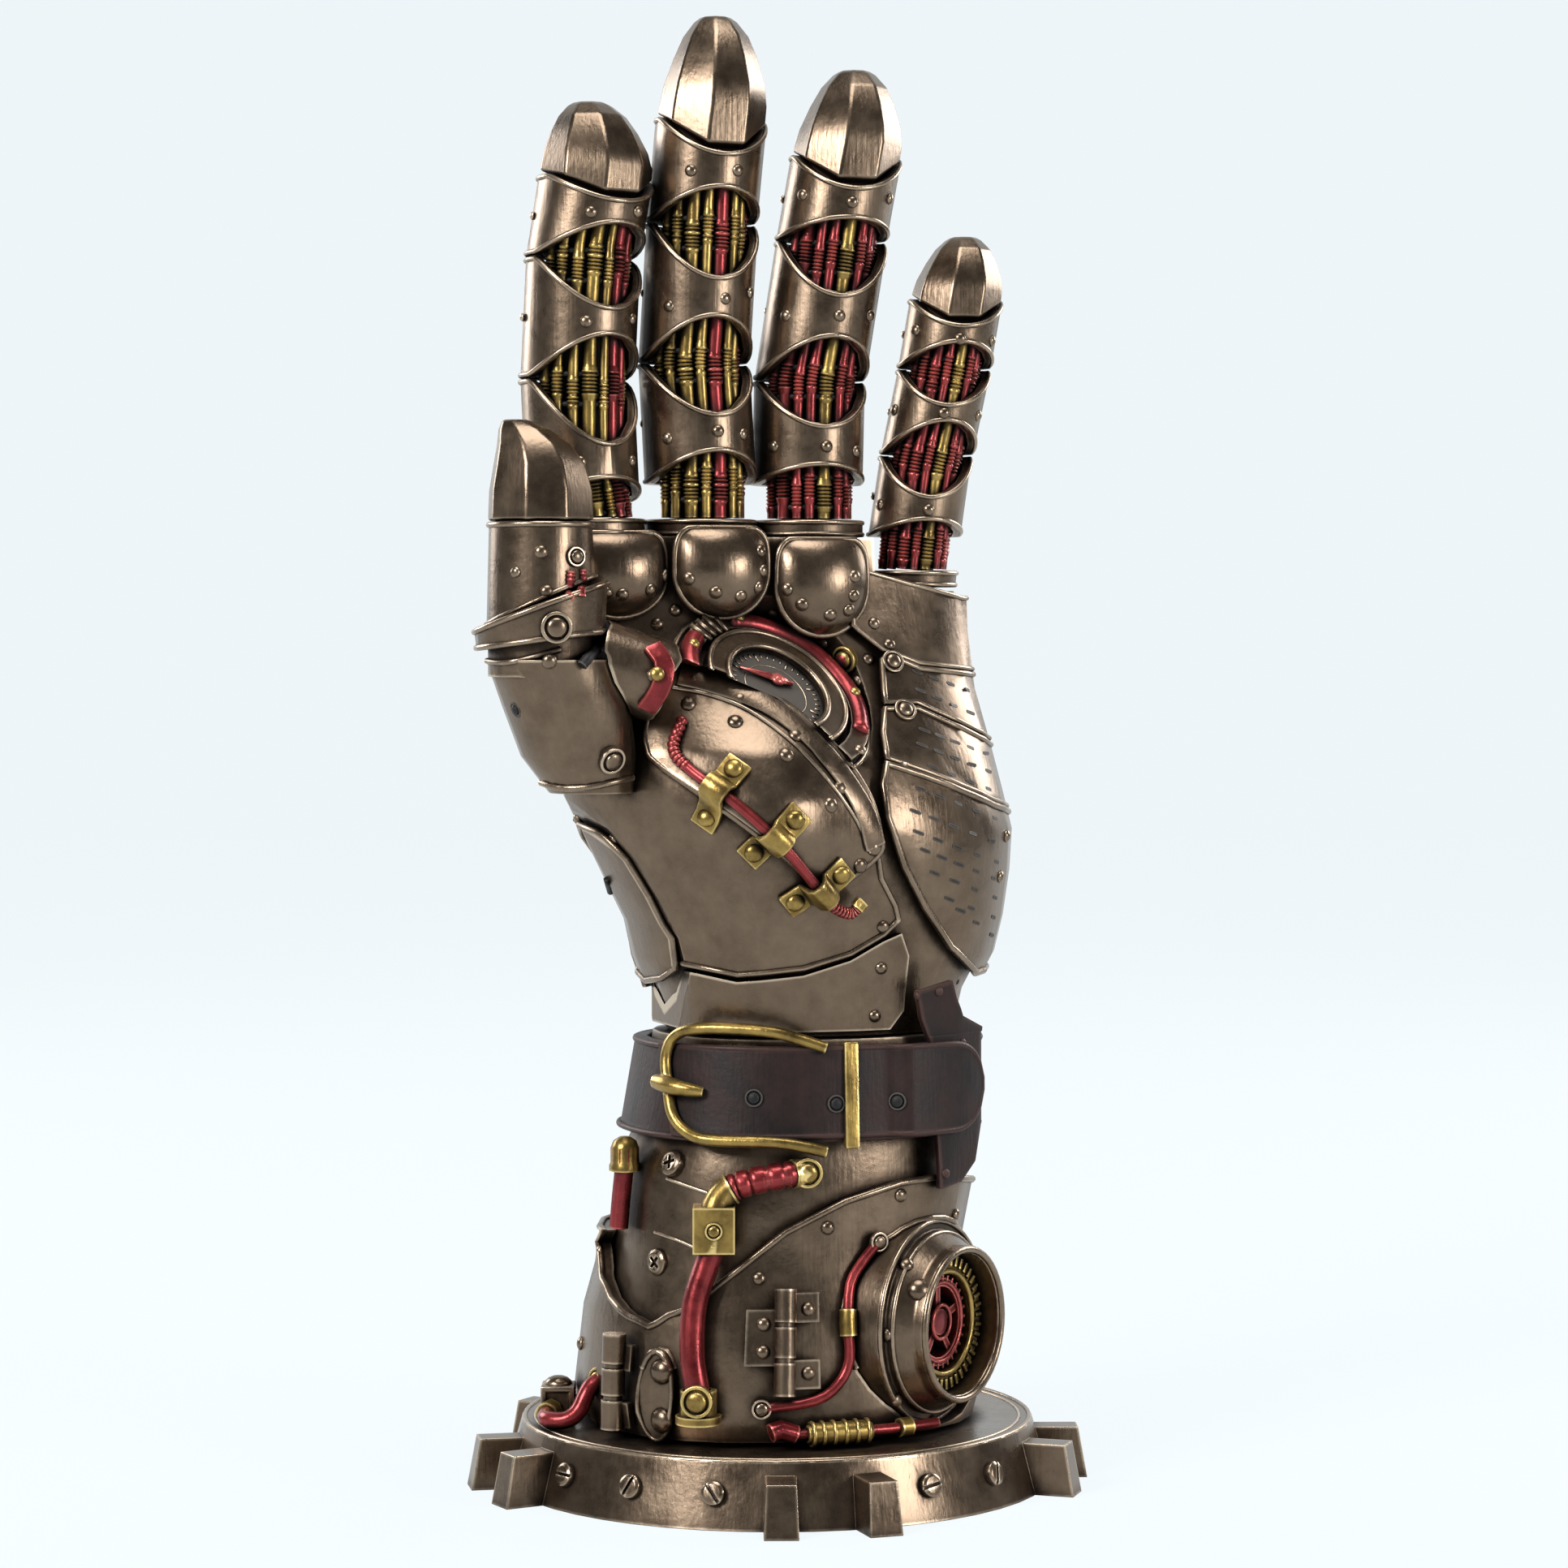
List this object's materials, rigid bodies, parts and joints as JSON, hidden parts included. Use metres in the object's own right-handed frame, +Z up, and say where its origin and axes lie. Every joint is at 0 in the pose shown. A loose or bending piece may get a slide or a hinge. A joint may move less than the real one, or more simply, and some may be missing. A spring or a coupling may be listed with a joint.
{
  "type": "steampunk gauntlet sculpture on a cog base",
  "caption": "Cast bronze display sculpture of a steampunk gauntlet, palm forward with fingers raised, belted at the wrist and standing on a toothed cog base.",
  "frame": {"origin": "centre of the flat underside of the cog base", "axes": "+Z up along the forearm, the palm looks towards -Y turned a little to +X, the thumb is on the -X side"},
  "size_m": [0.1224, 0.1225, 0.2875],
  "materials": {
    "cast_bronze": "cold-cast bronze with a dark wash",
    "antique_gold": "antique gold with a dark wash",
    "antique_red": "metallic red with a dark wash",
    "dark_leather": "near black with reddish worn edges",
    "dial_glass": "dark gloss"
  },
  "bodies": {
    "root": {"back_plate": "cast_bronze", "belt_buckle": "antique_gold", "belt_keeper": "antique_gold", "cog_base": "cast_bronze", "dial_glass": "dial_glass", "foot_capsule": "antique_gold", "foot_pipe": "antique_red", "forearm_core": "cast_bronze", "front_hinge": "cast_bronze", "front_pipe": "antique_red", "front_pipe_box": "antique_gold", "front_pipe_cap": "antique_gold", "gear_port": "cast_bronze", "gear_port_ring": "antique_gold", "gear_port_wheel": "antique_red", "hypothenar_lower": "cast_bronze", "hypothenar_middle": "cast_bronze", "hypothenar_upper": "cast_bronze", "index_claw": "cast_bronze", "index_lower_band": "cast_bronze", "index_middle_band": "cast_bronze", "index_pad": "cast_bronze", "index_tubes": "antique_gold", "index_upper_band": "cast_bronze", "left_hinge": "cast_bronze", "left_pipe": "antique_red", "little_claw": "cast_bronze", "little_knuckle_plate": "cast_bronze", "little_lower_band": "cast_bronze", "little_middle_band": "cast_bronze", "little_tubes": "antique_gold", "little_upper_band": "cast_bronze", "lower_cuff": "cast_bronze", "middle_claw": "cast_bronze", "middle_lower_band": "cast_bronze", "middle_middle_band": "cast_bronze", "middle_pad": "cast_bronze", "middle_tubes": "antique_gold", "middle_upper_band": "cast_bronze", "palm_core": "cast_bronze", "palm_dial": "cast_bronze", "ring_claw": "cast_bronze", "ring_lower_band": "cast_bronze", "ring_middle_band": "cast_bronze", "ring_pad": "cast_bronze", "ring_tubes": "antique_gold", "ring_upper_band": "cast_bronze", "side_plate": "cast_bronze", "thenar_lower": "cast_bronze", "thenar_pipe": "antique_red", "thenar_upper": "cast_bronze", "thin_pipe": "antique_red", "thumb_claw": "cast_bronze", "thumb_cuff_lower": "cast_bronze", "thumb_cuff_upper": "cast_bronze", "thumb_root": "cast_bronze", "thumb_sleeve": "cast_bronze", "wrist_belt": "dark_leather", "wrist_collar": "cast_bronze", "wrist_tab": "dark_leather"}
  },
  "joints": []
}
